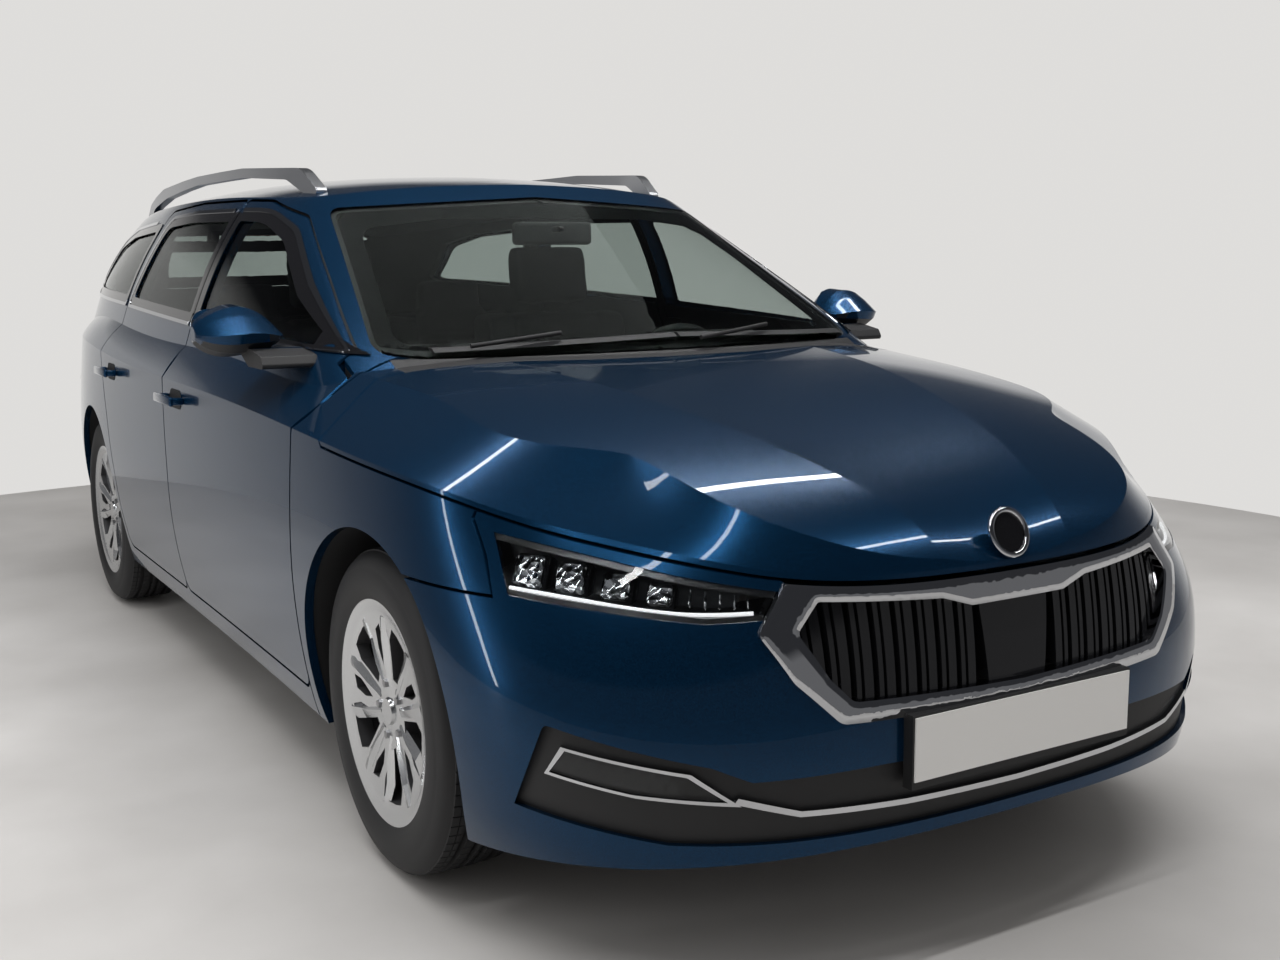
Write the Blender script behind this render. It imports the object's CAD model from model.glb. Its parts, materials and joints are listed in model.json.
# %% [markdown]
# # Dressing a station wagon
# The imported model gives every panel, wheel and hinge its real shape and place. This lesson adds what
# the eye looks for on a real car: metallic paint under clear lacquer, glass with black printed edges,
# bright trim, lamps with something inside them, tyres with a tread, and a cabin that shows through the
# windows. The frame is loaded first, because everything else is measured from it.

# %% Load the frame
import json
import math
import bmesh
import bpy
from mathutils import Matrix, Vector
from mathutils.bvhtree import BVHTree
from mathutils.kdtree import KDTree


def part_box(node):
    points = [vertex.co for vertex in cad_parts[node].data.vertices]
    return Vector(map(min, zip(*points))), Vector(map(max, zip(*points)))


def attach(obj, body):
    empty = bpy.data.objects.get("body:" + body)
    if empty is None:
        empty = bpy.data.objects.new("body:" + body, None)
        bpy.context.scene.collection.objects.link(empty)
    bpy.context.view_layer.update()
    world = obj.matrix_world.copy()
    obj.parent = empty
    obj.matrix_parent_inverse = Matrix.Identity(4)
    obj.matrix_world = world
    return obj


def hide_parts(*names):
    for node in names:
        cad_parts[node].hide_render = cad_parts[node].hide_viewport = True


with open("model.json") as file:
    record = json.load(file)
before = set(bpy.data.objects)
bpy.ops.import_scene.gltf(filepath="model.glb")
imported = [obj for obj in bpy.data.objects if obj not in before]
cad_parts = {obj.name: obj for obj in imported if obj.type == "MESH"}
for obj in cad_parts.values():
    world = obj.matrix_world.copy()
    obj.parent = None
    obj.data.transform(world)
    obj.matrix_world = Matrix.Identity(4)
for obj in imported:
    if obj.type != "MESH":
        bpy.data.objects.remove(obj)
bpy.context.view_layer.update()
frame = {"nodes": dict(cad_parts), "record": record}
nodes = frame["nodes"]
node_body = {node: body for body, group in frame["record"]["behaviour"]["bodies"].items() for node in group}
MM = 0.001
print("frame:", len(nodes), "nodes")

# %% [markdown]
# ## The body's smooth surfaces
# A packed panel is a mesh of flat triangles. Gloss paint shows every facet, because a reflection
# depends on the direction of the surface and not on its place. A real panel is pressed over one smooth
# form, so that form is rebuilt here as NURBS sheets from the same few control points, and the panels
# borrow its normals. A NURBS sheet fits, because it is smooth everywhere and follows a small net of
# points.

# %% Control points of the body
FRONT = 2344.5
REAR = -FRONT
FRONT_AXLE = FRONT - 885.0
REAR_AXLE = FRONT_AXLE - 2686.0
PLAN = [
    (FRONT - 8, 0, 0), (FRONT - 8, 190, 0), (FRONT - 32, 410, 10), (FRONT - 112, 600, 28),
    (FRONT - 255, 762, 48), (FRONT - 440, 862, 74), (FRONT_AXLE + 240, 902, 86), (FRONT_AXLE - 60, 912, 90),
    (FRONT_AXLE - 510, 912, 90), (380, 914, 90), (-300, 914, 90), (REAR_AXLE + 330, 914, 90),
    (REAR_AXLE - 150, 904, 92), (REAR_AXLE - 520, 856, 99), (REAR + 290, 782, 114), (REAR + 110, 650, 143),
    (REAR + 22, 420, 170), (REAR, 190, 180), (REAR, 0, 180),
]
ZONE = [0, 0, 0.1, 0.6, 1, 1.3, 1.9, 2.1, 2.6, 3, 3, 3.4, 4, 4.2, 4.8, 5.3, 6, 6, 6]
RAILS = [
    [(60, 100), (90, 100), (80, 100), (110, 100), (80, 100), (100, 100), (90, 100)],
    [(16, 165), (30, 185), (40, 200), (58, 212), (48, 230), (50, 250), (40, 255)],
    [(10, 260), (0, 280), (22, 310), (36, 310), (25, 330), (18, 350), (12, 350)],
    [(4, 420), (-14, 440), (5, 450), (9, 450), (6, 470), (2, 480), (-6, 470)],
    [(14, 570), (14, 600), (0, 630), (0, 640), (0, 660), (4, 650), (8, 620)],
    [(40, 690), (150, 748), (24, 835), (10, 885), (26, 925), (50, 935), (52, 925)],
    [(70, 790), (250, 815), (120, 882), (48, 945), (56, 985), (80, 985), (80, 985)],
    [(130, 880), (370, 880), (270, 940), (100, 1000), (110, 1040), (190, 1040), (200, 1040)],
    [(300, 1150), (560, 1150), (640, 1150), (330, 1150), (330, 1150), (420, 1150), (420, 1150)],
]
CREASE_ROW = 5
WAIST = [
    (1165, 0, 975), (1160, 210, 976), (1120, 460, 981), (1060, 640, 986), (990, 738, 992), (860, 782, 1000),
    (480, 806, 1015), (-200, 812, 1035), (-900, 806, 1055), (-1450, 785, 1072), (-1880, 735, 1080),
    (-2090, 640, 1075), (-2175, 430, 1050), (-2200, 200, 1040), (-2200, 0, 1040),
]
EAVES = [
    (430, 0, 1404), (425, 190, 1402), (400, 400, 1391), (352, 540, 1370), (270, 606, 1362), (120, 634, 1372),
    (-150, 646, 1388), (-650, 650, 1392), (-1150, 640, 1382), (-1550, 614, 1356), (-1860, 566, 1326),
    (-2010, 500, 1312), (-2075, 360, 1322), (-2095, 180, 1330), (-2095, 0, 1330),
]
TURN = [0, 0, 10, 28, 55, 82, 90, 90, 90, 94, 103, 135, 168, 180, 180]
BULGE = [14, 14, 12, 8, 8, 14, 18, 20, 20, 20, 16, 12, 10, 10, 10]
LEVELS = [
    (-0.55, 0, 0), (0, 0, 0), (0.36, 0, 0), (0.72, 0, 0), (1, 0, 0), (1, 34, 20), (1, 95, 36), (1, 330, 200),
]
SKIRT_Z = 760.0
CROWN_Z = 1560.0
ROOF_RIDGE = [
    (1260, 1220), (900, 1310), (600, 1385), (430, 1412), (150, 1446), (-300, 1466), (-800, 1462),
    (-1300, 1444), (-1750, 1408), (-2100, 1352), (-2500, 1270),
]
ROOF_FALL = [(0, 0), (220, 4), (440, 22), (640, 62), (1000, 190)]
DECK = [
    (-2500, 1085, 430, 0), (-1500, 1100, 430, 0), (-500, 1062, 430, 0), (500, 1030, 430, 0),
    (900, 1012, 430, 0), (1180, 984, 430, 0), (1450, 962, 385, 4), (1750, 912, 318, 8), (2000, 850, 245, 10),
    (2170, 790, 187, 10), (2262, 735, 158, 6), (2310, 676, 150, 2), (2370, 590, 150, 0), (2450, 470, 150, 0),
]
DECK_SIDE = 1000.0
print("rails:", len(RAILS), "plan points:", len(PLAN))


# %% Nets of control points, one for each pressed form
def blend(row, place):
    first = min(int(place), len(row) - 2)
    share = place - first
    return tuple(a + (b - a) * share for a, b in zip(row[first], row[first + 1]))


def out_of(degrees):
    return math.cos(math.radians(degrees)), math.sin(math.radians(degrees))


def belt_net(rows):
    net = []
    for row in rows:
        line = []
        for (x, y, turn), place in zip(PLAN, ZONE):
            inset, z = blend(row, place)
            c, s = out_of(turn)
            line.append((x - inset * c, y - inset * s if y else 0, z))
        net.append(line)
    return net


def cabin_net():
    net = []
    for share, inward, up in LEVELS:
        line = []
        for (bx, by, bz), (rx, ry, rz), turn, bulge in zip(WAIST, EAVES, TURN, BULGE):
            c, s = out_of(turn)
            swell = bulge * 4 * share * (1 - share) if 0 <= share <= 1 else 0
            inset = inward - swell
            z = bz + (rz - bz) * share + up
            if share < 0:
                z = SKIRT_Z
            if up == 200:
                z = CROWN_Z
            y = max(by + (ry - by) * share - inset * s, 0) if by else 0
            line.append((bx + (rx - bx) * share - inset * c, y, z))
        net.append(line)
    return net


def roof_net():
    return [[(x, y, z - fall) for y, fall in ROOF_FALL] for x, z in ROOF_RIDGE]


def deck_nets():
    inner, outer = [], []
    for x, z, y, lift in DECK:
        rest = DECK_SIDE - y
        inner.append([(x, 0, z), (x, y / 3, z), (x, 2 * y / 3, z + lift * 0.4), (x, y, z + lift)])
        outer.append([(x, y, z + lift), (x, y + rest * 0.3, z + lift - 8), (x, y + rest * 0.6, z + lift - 30),
                      (x, DECK_SIDE, z + lift - 90)])
    return inner, outer


# %% Turn each net into a fine smooth mesh, and mirror it to the other side
SHEET_STEPS = 14


def placed(name, data):
    """A new object in the scene."""
    obj = bpy.data.objects.new(name, data)
    bpy.context.scene.collection.objects.link(obj)
    return obj


def as_mesh(obj):
    """The final mesh of an object, which is removed."""
    mesh = bpy.data.meshes.new_from_object(obj.evaluated_get(bpy.context.evaluated_depsgraph_get()))
    bpy.data.objects.remove(obj)
    return mesh


def opened(mesh):
    """A bmesh with what a mesh holds."""
    shape = bmesh.new()
    shape.from_mesh(mesh)
    return shape


def sheet(name, net):
    data = bpy.data.curves.new(name, "SURFACE")
    data.dimensions = "3D"
    for row in net:
        spline = data.splines.new("NURBS")
        spline.points.add(len(row) - 1)
        for point, place in zip(spline.points, row):
            point.co = (place[0] * MM, place[1] * MM, place[2] * MM, 1)
            point.select = True
    obj = placed(name, data)
    bpy.context.view_layer.objects.active = obj
    bpy.ops.object.mode_set(mode="EDIT")
    bpy.ops.curve.make_segment()
    bpy.ops.object.mode_set(mode="OBJECT")
    surface = data.splines[0]
    surface.order_u = min(4, surface.point_count_u)
    surface.order_v = min(4, surface.point_count_v)
    surface.use_endpoint_u = True
    surface.use_endpoint_v = True
    surface.resolution_u = SHEET_STEPS
    surface.resolution_v = SHEET_STEPS
    data.resolution_u = SHEET_STEPS
    data.resolution_v = SHEET_STEPS
    return as_mesh(obj)


class Form:
    """One smooth sheet with a search tree over its faces and a normal at each of its points."""

    def __init__(self, name, net):
        mesh = sheet(name, net)
        shape = opened(mesh)
        bmesh.ops.remove_doubles(shape, verts=shape.verts, dist=1e-6)
        bmesh.ops.triangulate(shape, faces=shape.faces)
        shape.normal_update()
        shape.verts.ensure_lookup_table()
        self.points = [v.co.copy() for v in shape.verts]
        self.normals = [v.normal.copy() for v in shape.verts]
        self.faces = [tuple(v.index for v in f.verts) for f in shape.faces]
        self.tree = BVHTree.FromPolygons(self.points, self.faces)
        shape.free()
        bpy.data.meshes.remove(mesh)

    def normal_at(self, place, face):
        corners = self.faces[face]
        a, b, c = (self.points[i] for i in corners)
        area = (b - a).cross(c - a)
        size = area.length_squared or 1e-12
        wb = (place - a).cross(c - a).dot(area) / size
        wc = (b - a).cross(place - a).dot(area) / size
        na, nb, nc = (self.normals[i] for i in corners)
        return (na * (1 - wb - wc) + nb * wb + nc * wc).normalized()


inner_deck, outer_deck = deck_nets()
forms = [
    Form("lower_body", belt_net(RAILS[:CREASE_ROW + 1])), Form("shoulder", belt_net(RAILS[CREASE_ROW:])),
    Form("cabin", cabin_net()), Form("roof", roof_net()), Form("bonnet_middle", inner_deck),
    Form("bonnet_side", outer_deck),
]
print("forms:", [len(f.faces) for f in forms])

# %% [markdown]
# ## Panels that borrow the smooth normals
# Each outer panel is copied, its triangles are joined at their corners, and every face that lies on a
# smooth form takes that form's normals. The other faces, such as the cut edges, keep flat ones. The
# copy stands for the CAD panel, so the panel itself is hidden and still works as the solid for
# collisions.

# %% Copy a node and give its skin smooth normals
SKIN_REACH = 1.2 * MM
SAME_WAY = 0.85
pieces = {}


def to_left(vector, side):
    """A vector on the left side of the car, where the forms are. side is -1 for one from the right."""
    return Vector((vector.x, vector.y * side, vector.z))


def skin_form(place, facing):
    """The form that a face lies on, or None away from the skin."""
    side = -1 if place.y < 0 else 1
    wanted = to_left(facing, side)
    best, found = SKIN_REACH, None
    for form in forms:
        spot, _, face, gap = form.tree.find_nearest(to_left(place, side), SKIN_REACH)
        if spot is None or gap >= best:
            continue
        if abs(form.normal_at(spot, face).dot(wanted)) > SAME_WAY:
            best, found = gap, form
    return found


def corner_normal(form, place, facing):
    """The form's normal at the point nearest to a place, turned to the side that a face looks to."""
    side = -1 if place.y < 0 else 1
    spot, _, face, _ = form.tree.find_nearest(to_left(place, side))
    normal = to_left(form.normal_at(spot, face), side)
    return -normal if normal.dot(facing) < 0 else normal


def shade(shape, angle):
    """Smooth shading, with a sharp edge wherever two faces meet at more than angle degrees."""
    for face in shape.faces:
        face.smooth = True
    for edge in shape.edges:
        edge.smooth = len(edge.link_faces) == 2 and edge.calc_face_angle(math.pi) < math.radians(angle)


def join_triangles(mesh, angle):
    shape = opened(mesh)
    bmesh.ops.remove_doubles(shape, verts=shape.verts, dist=2e-5)
    bmesh.ops.dissolve_degenerate(shape, edges=shape.edges, dist=1e-5)
    shade(shape, angle)
    shape.to_mesh(mesh)
    shape.free()


def copy_node(node, angle=30, skin=False):
    """A merged copy of a node, smooth across shallow edges, and with the form's normals on its skin."""
    mesh = nodes[node].data.copy()
    mesh.name = node + "_finished"
    join_triangles(mesh, angle)
    piece = placed(node + "_finished", mesh)
    if skin:
        normals = [corner.vector.copy() for corner in mesh.corner_normals]
        on_skin = 0
        for face in mesh.polygons:
            form = skin_form(face.center, face.normal)
            if form is None:
                continue
            on_skin += 1
            for loop in face.loop_indices:
                place = mesh.vertices[mesh.loops[loop].vertex_index].co
                normals[loop] = corner_normal(form, place, face.normal)
        mesh.normals_split_custom_set(normals)
        print(node, "faces", len(mesh.polygons), "on the skin", on_skin)
    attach(piece, node_body[node])
    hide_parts(node)
    pieces[node] = piece
    return piece


# %% [markdown]
# ## A small kit for finishes
# Every finish starts from the Principled shader. What is the same all over is set on its own socket,
# and only what varies over the surface, such as grain or flakes, is linked from textures on Object
# coordinates.

# %% Helpers for materials
def finish(name, colour, **sockets):
    material = bpy.data.materials.new(name)
    material.use_nodes = True
    shader = material.node_tree.nodes["Principled BSDF"]
    shader.inputs["Base Color"].default_value = (*colour, 1)
    for socket, value in sockets.items():
        shader.inputs[socket.replace("_", " ").title().replace("Ior", "IOR")].default_value = value
    return material


def texture(material, kind, scale, **values):
    tree = material.node_tree
    place = tree.nodes.new("ShaderNodeTexCoord")
    node = tree.nodes.new(kind)
    tree.links.new(place.outputs["Object"], node.inputs["Vector"])
    node.inputs["Scale"].default_value = scale
    for socket, value in values.items():
        node.inputs[socket.title()].default_value = value
    return node


def add_bump(material, source, depth, strength=1.0):
    tree = material.node_tree
    bump = tree.nodes.new("ShaderNodeBump")
    bump.inputs["Distance"].default_value = depth
    bump.inputs["Strength"].default_value = strength
    tree.links.new(source, bump.inputs["Height"])
    tree.links.new(bump.outputs["Normal"], tree.nodes["Principled BSDF"].inputs["Normal"])


def vary(material, source, socket, low, high):
    """Spreads a texture's value between two numbers or two colours of a socket."""
    tree = material.node_tree
    ramp = tree.nodes.new("ShaderNodeValToRGB")
    first = low if isinstance(low, tuple) else (low, low, low)
    last = high if isinstance(high, tuple) else (high, high, high)
    ramp.color_ramp.elements[0].position = 0.3
    ramp.color_ramp.elements[1].position = 0.7
    ramp.color_ramp.elements[0].color = (*first, 1)
    ramp.color_ramp.elements[1].color = (*last, 1)
    tree.links.new(source, ramp.inputs["Fac"])
    tree.links.new(ramp.outputs["Color"], tree.nodes["Principled BSDF"].inputs[socket])


def wear(node, *materials):
    data = pieces[node].data if node in pieces else nodes[node].data
    data.materials.clear()
    for material in materials:
        data.materials.append(material)


# %% [markdown]
# ## Deep blue metallic paint
# The real coat is a dark blue with fine aluminium flakes, under a clear lacquer. The flakes make the
# colour brighter where light falls square on it, so most of the base is metallic, and a tiny cell
# pattern varies it. The lacquer is the shader's coat. It is nearly mirror smooth, and its low
# refraction keeps the colour deep.

# %% Paint
paint = finish("blue_metallic_paint", (0.003, 0.024, 0.075), metallic=0.7, roughness=0.26, coat_weight=1.0,
               coat_roughness=0.01, coat_ior=1.24, specular_ior_level=0.1)
flakes = texture(paint, "ShaderNodeTexVoronoi", 1400)
vary(paint, flakes.outputs["Color"], "Base Color", (0.002, 0.018, 0.050), (0.005, 0.048, 0.118))
print("paint:", paint.name)

# %% [markdown]
# ## Bright metal, black plastic, glass and the rest
# These follow the same recipe with other numbers: chrome is all metal and almost smooth, moulded black
# plastic has a fine grain, and satin rails are metal with a soft roughness. Glass transmits, and its
# low refraction lets a single thin pane be seen through without a strong mirror image.

# %% Other finishes
chrome = finish("chrome_plate", (0.60, 0.61, 0.63), metallic=1.0, roughness=0.05)
satin = finish("satin_aluminium", (0.62, 0.63, 0.65), metallic=1.0, roughness=0.28)
alloy = finish("silver_lacquered_alloy", (0.62, 0.63, 0.64), metallic=1.0, roughness=0.24, coat_weight=0.5,
               coat_roughness=0.1)
gloss_black = finish("gloss_black", (0.006, 0.006, 0.007), roughness=0.12, coat_weight=0.5)
black_plastic = finish("grained_black_plastic", (0.013, 0.013, 0.014), roughness=0.55)
grain = texture(black_plastic, "ShaderNodeTexNoise", 900, detail=2)
add_bump(black_plastic, grain.outputs["Fac"], 0.0002, 0.5)
under_paint = finish("underbody_black", (0.012, 0.012, 0.013), roughness=0.6)
cast_iron = finish("turned_iron", (0.25, 0.24, 0.23), metallic=1.0, roughness=0.35)
steel = finish("exhaust_steel", (0.32, 0.3, 0.28), metallic=1.0, roughness=0.45)
tyre_rubber = finish("tyre_rubber", (0.012, 0.012, 0.013), roughness=0.62)
plate_face = finish("blank_plate", (0.86, 0.85, 0.83), roughness=0.3, coat_weight=0.3)
CLEAR = {"roughness": 0.0, "transmission_weight": 1.0}
window = finish("window_glass", (0.60, 0.65, 0.63), ior=1.14, **CLEAR)
dark_window = finish("dark_window_glass", (0.46, 0.51, 0.49), ior=1.14, **CLEAR)
lamp_cover = finish("clear_lamp_cover", (0.93, 0.95, 0.96), ior=1.3, **CLEAR)
red_lens = finish("red_lamp_lens", (0.36, 0.006, 0.01), roughness=0.08, coat_weight=0.6)
seat_cloth = finish("seat_cloth", (0.022, 0.021, 0.022), roughness=0.85)
weave = texture(seat_cloth, "ShaderNodeTexVoronoi", 500)
add_bump(seat_cloth, weave.outputs["Distance"], 0.0006)
lamp_bowl = finish("lamp_bowl", (0.13, 0.135, 0.14), metallic=0.9, roughness=0.3)
soft_trim = finish("soft_trim", (0.018, 0.018, 0.019), roughness=0.6)
print("finishes:", len(bpy.data.materials))


# %% [markdown]
# ## Which piece gets which finish
# The painted panels take the body's smooth normals. Glass is darker from the front seats back. The
# chrome frame of the grille is a flat band in the frame, so its normals are leaned outward near its
# edges to look domed.

# %% Painted panels and glass
PAINTED = ["bonnet", "front_bumper", "front_wings", "side_panels", "roof_panel", "tailgate", "rear_bumper"]
PAINTED += ["front_door_left", "front_door_right", "rear_door_left", "rear_door_right"]
for node in PAINTED:
    copy_node(node, skin=True)
    wear(node, paint)
GLAZED = ["windscreen", "tailgate_window", "quarter_windows", "front_door_window_left"]
GLAZED += ["front_door_window_right", "rear_door_window_left", "rear_door_window_right"]
for node in GLAZED:
    copy_node(node, angle=50)
    wear(node, window if node == "windscreen" or node.startswith("front") else dark_window)
for node in ("front_trim", "headlamp_lenses", "fog_lamps", "tail_lamps", "tailgate_lamps"):
    copy_node(node, angle=35)
print("copies:", len(pieces))

# %% Domed look of the grille frame
FRAME_ROUNDING = 0.014
FRAME_FINENESS = 0.007
FACES_FORWARD = 0.8
AHEAD = Vector((1, 0, 0))


def domed_copy(node, reach):
    """A copy of a flat bright band whose normals lean outward near its edges, so that it looks rounded."""
    mesh = copy_node(node, angle=30).data
    shape = opened(mesh)
    form = forms[0]

    def fronts():
        found = []
        for face in shape.faces:
            outward = corner_normal(form, face.calc_center_median(), AHEAD)
            if face.normal.dot(outward) > FACES_FORWARD:
                found.append(face)
        return found

    for _ in range(4):
        long_edges = {e for f in fronts() for e in f.edges if e.calc_length() > FRAME_FINENESS}
        bmesh.ops.subdivide_edges(shape, edges=list(long_edges), cuts=1)
    bmesh.ops.triangulate(shape, faces=shape.faces)
    shape.normal_update()
    front = set(fronts())
    walls = []
    for edge in shape.edges:
        outer = [f for f in edge.link_faces if f not in front]
        if len(outer) == 1 and len(edge.link_faces) == 2:
            walls.append(((edge.verts[0].co + edge.verts[1].co) / 2, outer[0].normal.copy()))
    tree = KDTree(len(walls))
    for k, (spot, _) in enumerate(walls):
        tree.insert(spot, k)
    tree.balance()
    normals = []
    for face in shape.faces:
        for corner in face.verts:
            if face not in front:
                normals.append(face.normal.copy())
                continue
            _, k, gap = tree.find(corner.co)
            lean = max(0.0, 1 - gap / reach)
            outward = corner_normal(form, corner.co, AHEAD)
            normals.append((outward + walls[k][1] * lean).normalized())
    shape.to_mesh(mesh)
    shape.free()
    mesh.normals_split_custom_set(normals)


domed_copy("grille_frame", FRAME_ROUNDING)
copy_node("roof_rails", angle=40)
print("smooth copies:", len(pieces))

# %% One finish for each plain piece
PLAIN = {
    "grille_frame": chrome, "front_trim": chrome, "headlamp_lenses": lamp_cover, "fog_lamps": lamp_cover,
    "tail_lamps": red_lens, "tailgate_lamps": red_lens, "roof_rails": satin,
    "grille_slats": gloss_black, "lower_grille": black_plastic, "plate_holder": black_plastic,
    "wipers": black_plastic, "cowl_panel": black_plastic, "headlamp_housings": lamp_bowl,
    "front_plate": plate_face, "rear_plate": plate_face, "body_shell": under_paint, "front_frame": under_paint,
    "front_suspension": under_paint, "rear_axle": under_paint, "knuckle_left": under_paint,
    "knuckle_right": under_paint, "engine_block": cast_iron, "exhaust": steel, "fuel_tank": black_plastic,
    "dashboard": soft_trim, "steering_wheel": soft_trim,
}
for node, material in PLAIN.items():
    wear(node, material)
print("plain finishes:", len(PLAIN))

# %% [markdown]
# ## A kit for new pieces
# Trim, handles and lamps are made as small meshes. Each helper takes a bmesh, rounds or projects it,
# and hands back a finished piece that rides on its body. Whatever is made on the left side is mirrored
# to the right.

# %% Helpers for new pieces
def finished(name, shape, body, slot, *materials, angle=35):
    bmesh.ops.recalc_face_normals(shape, faces=shape.faces)
    shade(shape, angle)
    mesh = bpy.data.meshes.new(name)
    shape.to_mesh(mesh)
    shape.free()
    for material in materials:
        mesh.materials.append(material)
    piece = placed(name, mesh)
    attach(piece, body)
    pieces[name] = piece
    return piece


def both_sides(name, make, body, slot, *materials, angle=35):
    """Makes a piece on the left and its mirror image on the right. {} in a body's name is the side."""
    for side, sign in (("left", 1), ("right", -1)):
        shape = make()
        bmesh.ops.scale(shape, verts=shape.verts, vec=(1, sign, 1))
        finished(name + "_" + side, shape, body.format(side), slot, *materials, angle=angle)


def block(size, place, bevel=0.0, segments=3, turn=None):
    """A box with rounded edges, turned if asked, at a place."""
    shape = bmesh.new()
    bmesh.ops.create_cube(shape, size=1)
    bmesh.ops.scale(shape, verts=shape.verts, vec=size)
    if bevel:
        bmesh.ops.bevel(shape, geom=shape.edges, offset=bevel, segments=segments, affect="EDGES", profile=0.5,
                        material=-1)
    if turn is not None:
        bmesh.ops.rotate(shape, verts=shape.verts, cent=(0, 0, 0), matrix=turn)
    bmesh.ops.translate(shape, verts=shape.verts, vec=place)
    return shape


def set_down(shape, turn, place):
    """Turns a shape about the origin and moves it to its place."""
    bmesh.ops.rotate(shape, verts=shape.verts, cent=(0, 0, 0), matrix=turn)
    bmesh.ops.translate(shape, verts=shape.verts, vec=place)
    return shape


def merged(shapes):
    """Several bmeshes as one."""
    total = bmesh.new()
    for shape in shapes:
        part = bpy.data.meshes.new("part")
        shape.to_mesh(part)
        shape.free()
        total.from_mesh(part)
        bpy.data.meshes.remove(part)
    return total


def grown(points, by):
    """An outline moved outward by a distance. Points are (a, b) or (a, b, corner radius)."""
    area = sum(p[0] * q[1] - q[0] * p[1] for p, q in zip(points, points[1:] + points[:1]))
    turn = 1 if area > 0 else -1
    moved = []
    for before, here, after in zip(points[-1:] + points[:-1], points, points[1:] + points[:1]):
        u = Vector((here[0] - before[0], here[1] - before[1])).normalized()
        w = Vector((after[0] - here[0], after[1] - here[1])).normalized()
        nu = Vector((u.y, -u.x)) * turn
        nw = Vector((w.y, -w.x)) * turn
        step = (nu + nw) / max(1 + nu.dot(nw), 0.3) * by
        moved.append((here[0] + step.x, here[1] + step.y) + tuple(here[2:]))
    return moved


CORNER_STEPS = 5
WELD = 0.0008


def plate(points, place):
    """A flat face with rounded corners. place turns (a, b) in mm into a point in metres."""
    shape = bmesh.new()
    corners = [shape.verts.new(place(p[0], p[1])) for p in points]
    shape.faces.new(corners)
    for corner, point in zip(corners, points):
        if len(point) > 2 and point[2] > 0:
            bmesh.ops.bevel(shape, geom=[corner], offset=point[2] * MM, segments=CORNER_STEPS,
                            affect="VERTICES", profile=0.5, material=-1)
    return shape


def fine(shape, longest):
    """Divides long edges until none is longer than a given length."""
    for _ in range(6):
        long_edges = [e for e in shape.edges if e.calc_length() > longest]
        if not long_edges:
            break
        bmesh.ops.subdivide_edges(shape, edges=long_edges, cuts=1, use_grid_fill=True)


def rounded(points):
    """The outline with its corners cut to curves. A third number is how far each cut reaches."""
    path = []
    for before, here, after in zip(points[-1:] + points[:-1], points, points[1:] + points[:1]):
        tip = Vector(here[:2])
        reach = here[2] if len(here) > 2 else 0
        start = tip + (Vector(before[:2]) - tip).normalized() * reach
        end = tip + (Vector(after[:2]) - tip).normalized() * reach
        for k in range(CORNER_STEPS + 1 if reach else 1):
            t = k / CORNER_STEPS
            path.append(start * (1 - t) ** 2 + tip * 2 * t * (1 - t) + end * t ** 2)
    return path


def band(points, inner, outer, place):
    """A closed ring between an outline moved by inner and by outer, in mm."""
    shape = bmesh.new()
    loops = [[shape.verts.new(place(*p)) for p in rounded(grown(points, by))] for by in (inner, outer)]
    for k in range(len(loops[0])):
        shape.faces.new((loops[0][k - 1], loops[0][k], loops[1][k], loops[1][k - 1]))
    bmesh.ops.remove_doubles(shape, verts=shape.verts, dist=WELD)
    return shape


OFF_MIDDLE = 0.3 * MM


def cast_on(place, aim, form_list, lift):
    """Where a line from a place first meets the body, lifted off it, or None. The right mirrors the left."""
    start = Vector((place.x, max(abs(place.y), OFF_MIDDLE), place.z))
    best = None
    for form in form_list:
        spot, _, face, gap = form.tree.ray_cast(start, aim)
        if spot is not None and (best is None or gap < best[0]):
            best = (gap, spot, form.normal_at(spot, face))
    if best is None:
        return None
    normal = best[2] if best[2].dot(aim) < 0 else -best[2]
    spot = best[1] + normal * lift
    return Vector((spot.x, spot.y if place.y >= 0 else -spot.y, spot.z))


def lay_on(shape, form_list, direction, lift, thickness):
    """Lays a flat shape on the body along a direction, lifted off it, and gives it a thickness."""
    aim = Vector(direction).normalized()
    for vert in shape.verts:
        spot = cast_on(vert.co, aim, form_list, lift)
        if spot is not None:
            vert.co = spot
    loose = [v for v in shape.verts if not v.link_faces]
    bmesh.ops.delete(shape, geom=loose, context="VERTS")
    bmesh.ops.recalc_face_normals(shape, faces=shape.faces)
    bmesh.ops.solidify(shape, geom=shape.faces, thickness=thickness)
    return shape


def side_view(x, z):
    return Vector((x * MM, 1.3, z * MM))


def front_view(y, z):
    return Vector((3.0, y * MM, z * MM))


def rear_view(y, z):
    return Vector((-3.0, y * MM, z * MM))


lower_form, shoulder_form, cabin_form, roof_form, deck_form, deck_side_form = forms
BODY_SIDE = [lower_form, shoulder_form]
print("helpers ready")

# %% [markdown]
# ## Window surrounds
# A bright strip follows the lower and upper edge of the side windows, the frames between are gloss
# black, and the glass has a black printed edge. All of them are flat bands laid on the cabin's form.
# Each door carries its own.

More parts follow.
